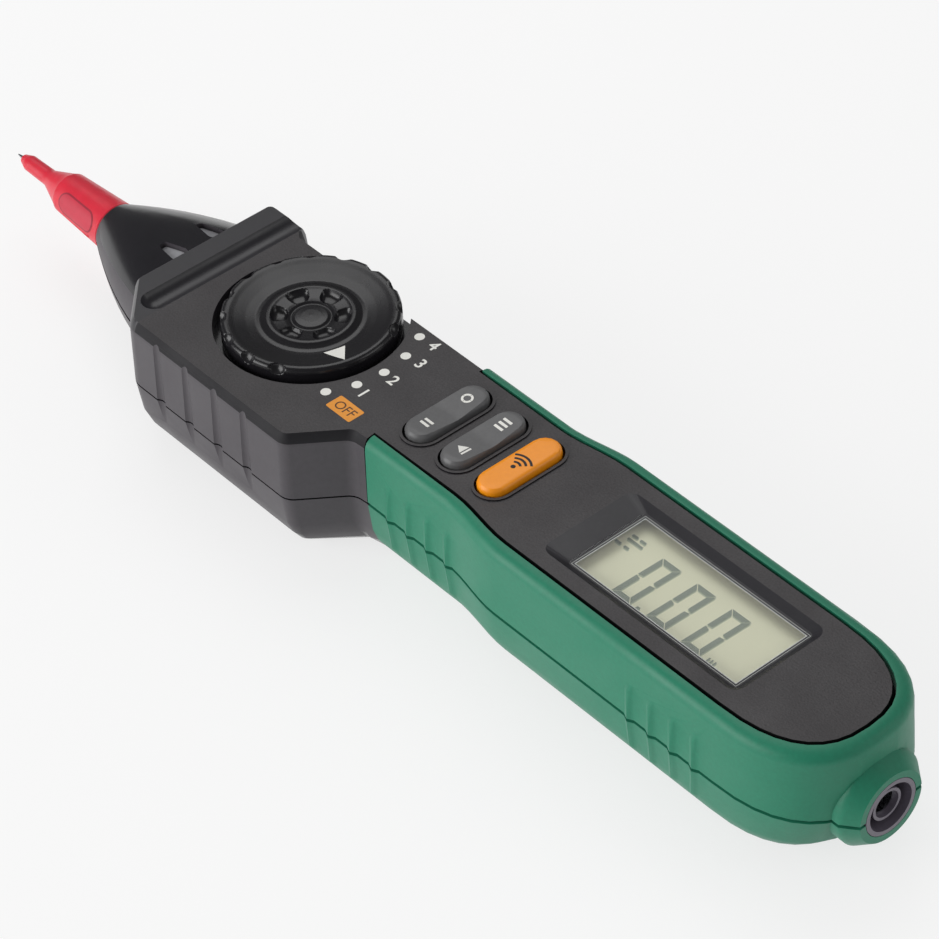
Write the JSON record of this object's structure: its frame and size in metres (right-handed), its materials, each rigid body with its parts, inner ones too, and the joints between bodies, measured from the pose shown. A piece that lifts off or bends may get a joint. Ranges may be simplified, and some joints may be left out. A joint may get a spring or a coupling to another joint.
{
  "type": "pen_multimeter",
  "caption": "Hand-held pen multimeter with a capped probe tip, a round selector dial, a row of keys, a window display, a soft grip and a socket for the second lead",
  "frame": {"origin": "on the flat back, straight below the axis of the selector dial; the probe, the lead socket and the parting line lie 12.9 mm above it", "axes": "+X from the probe tip to the lead socket, +Y away from the thumb side, +Z out of the fascia"},
  "size_m": [0.2119, 0.0379, 0.0276],
  "materials": {
    "case_front": "charcoal moulding, fine grain, satin",
    "case_rear": "dark charcoal moulding, gloss",
    "soft_grip": "green moulded elastomer, matt",
    "red_vinyl": "soft translucent red vinyl",
    "plated_steel": "nickel plated",
    "contact_brass": "plain brass strip",
    "black_plastic": "black moulding",
    "white_plastic": "natural white moulding",
    "smoked_lens": "smoked clear plastic",
    "lamp_resin": "diffused resin",
    "dial_plastic": "near-black moulding, satin gloss",
    "key_grey": "grey moulding, satin",
    "key_orange": "orange moulding, satin",
    "silicone": "grey silicone",
    "clear_window": "clear acrylic, polished",
    "display_glass": "grey-green display glass",
    "board_green": "green solder mask",
    "fuse_ceramic": "glazed ceramic tube",
    "cell_jacket": "printed film jacket"
  },
  "bodies": {
    "body": {"front_case": "case_front", "rear_case": "case_rear", "front_grip": "soft_grip", "rear_grip": "soft_grip", "probe_pin": "plated_steel", "probe_collar": "black_plastic", "probe_terminal": "contact_brass", "light_windows": "smoked_lens", "indicator_lamps": "lamp_resin", "detent_spring": "plated_steel", "key_mat": "silicone", "lcd_window": "clear_window", "lcd_glass": "display_glass", "lcd_frame": "white_plastic", "lcd_strips": "silicone", "main_board": "board_green", "meter_chip": "black_plastic", "fuse": "fuse_ceramic", "fuse_clips": "contact_brass", "buzzer": "black_plastic", "battery_cell_left": "cell_jacket", "battery_cell_right": "cell_jacket", "battery_springs": "plated_steel", "battery_plates": "plated_steel", "case_screws": "plated_steel", "socket_shroud": "black_plastic", "socket_contact": "plated_steel"},
    "cap": {"tip_cap": "red_vinyl"},
    "dial": {"dial_knob": "dial_plastic", "dial_rotor": "white_plastic", "dial_wipers": "contact_brass", "dial_screw": "plated_steel"},
    "hold": {"hold_key": "key_grey"},
    "function": {"function_key": "key_grey"},
    "sensor": {"sensor_key": "key_orange"},
    "door": {"battery_door": "case_rear", "door_screw": "plated_steel"}
  },
  "joints": [
    {"name": "cap_pull", "type": "slide", "parent": "body", "child": "cap", "axis": [-1, 0, 0], "range_m": [0, 0.034]},
    {"name": "dial_turn", "type": "hinge", "parent": "body", "child": "dial", "pos_m": [0, -0.0004, 0.0228], "axis": [0, 0, 1], "range_deg": [-16, 48]},
    {"name": "hold_rock", "type": "hinge", "parent": "body", "child": "hold", "pos_m": [0.0329, 0, 0.022], "axis": [1, 0, 0], "range_deg": [-2.5, 2.5], "stiffness_Nm_per_rad": 0.05},
    {"name": "function_rock", "type": "hinge", "parent": "body", "child": "function", "pos_m": [0.04135, 0, 0.022], "axis": [1, 0, 0], "range_deg": [-2.5, 2.5], "stiffness_Nm_per_rad": 0.05},
    {"name": "sensor_press", "type": "slide", "parent": "body", "child": "sensor", "axis": [0, 0, -1], "range_m": [0, 0.0006], "stiffness_N_per_m": 200},
    {"name": "door_lift", "type": "slide", "parent": "body", "child": "door", "axis": [0, 0, -1], "range_m": [0, 0.014]}
  ]
}
